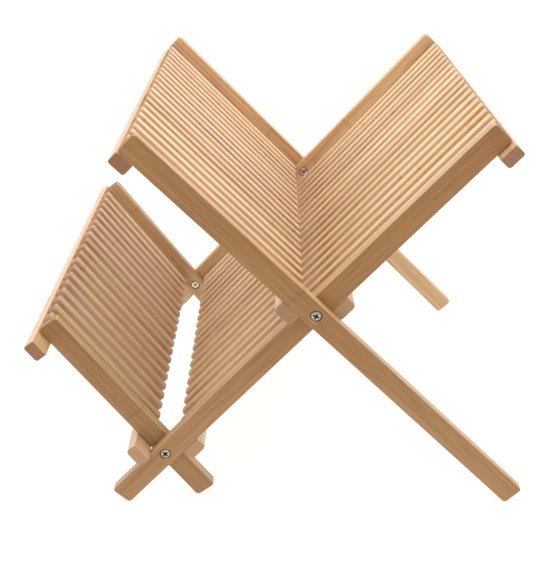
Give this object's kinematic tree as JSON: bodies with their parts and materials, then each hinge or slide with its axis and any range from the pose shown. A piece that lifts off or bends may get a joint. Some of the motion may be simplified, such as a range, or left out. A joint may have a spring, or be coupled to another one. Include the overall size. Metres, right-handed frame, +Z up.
{
  "type": "dish drying rack",
  "caption": "Folding bamboo dish rack: crossed slatted panels hinged on screws make an upper plate tray and a lower tray for cups.",
  "frame": {"origin": "on the floor below the middle of the open rack's box", "axes": "+X along the rack, from the short panel to the long legs; +Y along the hinge axes, from front to back; +Z up"},
  "size_m": [0.3814, 0.35, 0.3095],
  "materials": {
    "bamboo_rail": "satin, lightly oiled bamboo",
    "bamboo_slat": "satin, sanded bamboo",
    "bamboo_bar": "satin, sanded bamboo",
    "plated_steel": "zinc plated, a little worn"
  },
  "bodies": {
    "middle_panel": {"middle_front_rail": "bamboo_rail", "middle_back_rail": "bamboo_rail", "middle_slat_grid": "bamboo_slat", "upper_front_screw": "plated_steel", "upper_front_barrel_nut": "plated_steel", "upper_back_screw": "plated_steel", "upper_back_barrel_nut": "plated_steel", "lower_front_screw": "plated_steel", "lower_front_barrel_nut": "plated_steel", "lower_back_screw": "plated_steel", "lower_back_barrel_nut": "plated_steel"},
    "outer_panel": {"outer_front_rail": "bamboo_rail", "outer_back_rail": "bamboo_rail", "outer_stop_bar": "bamboo_bar", "outer_top_bar": "bamboo_bar", "outer_slat_01": "bamboo_slat", "outer_slat_02": "bamboo_slat", "outer_slat_03": "bamboo_slat", "outer_slat_04": "bamboo_slat", "outer_slat_05": "bamboo_slat", "outer_slat_06": "bamboo_slat", "outer_slat_07": "bamboo_slat", "outer_slat_08": "bamboo_slat", "outer_slat_09": "bamboo_slat", "outer_slat_10": "bamboo_slat", "outer_slat_11": "bamboo_slat", "outer_slat_12": "bamboo_slat", "outer_slat_13": "bamboo_slat", "outer_slat_14": "bamboo_slat", "outer_slat_15": "bamboo_slat", "outer_slat_16": "bamboo_slat", "outer_slat_17": "bamboo_slat", "outer_slat_18": "bamboo_slat", "outer_slat_19": "bamboo_slat", "outer_slat_20": "bamboo_slat", "outer_slat_21": "bamboo_slat"},
    "short_panel": {"short_front_rail": "bamboo_rail", "short_back_rail": "bamboo_rail", "short_stop_bar": "bamboo_bar", "short_top_bar": "bamboo_bar", "short_slat_01": "bamboo_slat", "short_slat_02": "bamboo_slat", "short_slat_03": "bamboo_slat", "short_slat_04": "bamboo_slat", "short_slat_05": "bamboo_slat", "short_slat_06": "bamboo_slat", "short_slat_07": "bamboo_slat", "short_slat_08": "bamboo_slat", "short_slat_09": "bamboo_slat", "short_slat_10": "bamboo_slat", "short_slat_11": "bamboo_slat", "short_slat_12": "bamboo_slat", "short_slat_13": "bamboo_slat", "short_slat_14": "bamboo_slat", "short_slat_15": "bamboo_slat", "short_slat_16": "bamboo_slat", "short_slat_17": "bamboo_slat", "short_slat_18": "bamboo_slat", "short_slat_19": "bamboo_slat"}
  },
  "joints": [
    {"name": "outer_panel_hinge", "type": "hinge", "parent": "middle_panel", "child": "outer_panel", "pos_m": [0.02694, 0, 0.17027], "axis": [0, 1, 0], "range_deg": [0, 87.6]},
    {"name": "short_panel_hinge", "type": "hinge", "parent": "middle_panel", "child": "short_panel", "pos_m": [-0.0928, 0, 0.04541], "axis": [0, 1, 0], "range_deg": [0, 79.8]}
  ]
}
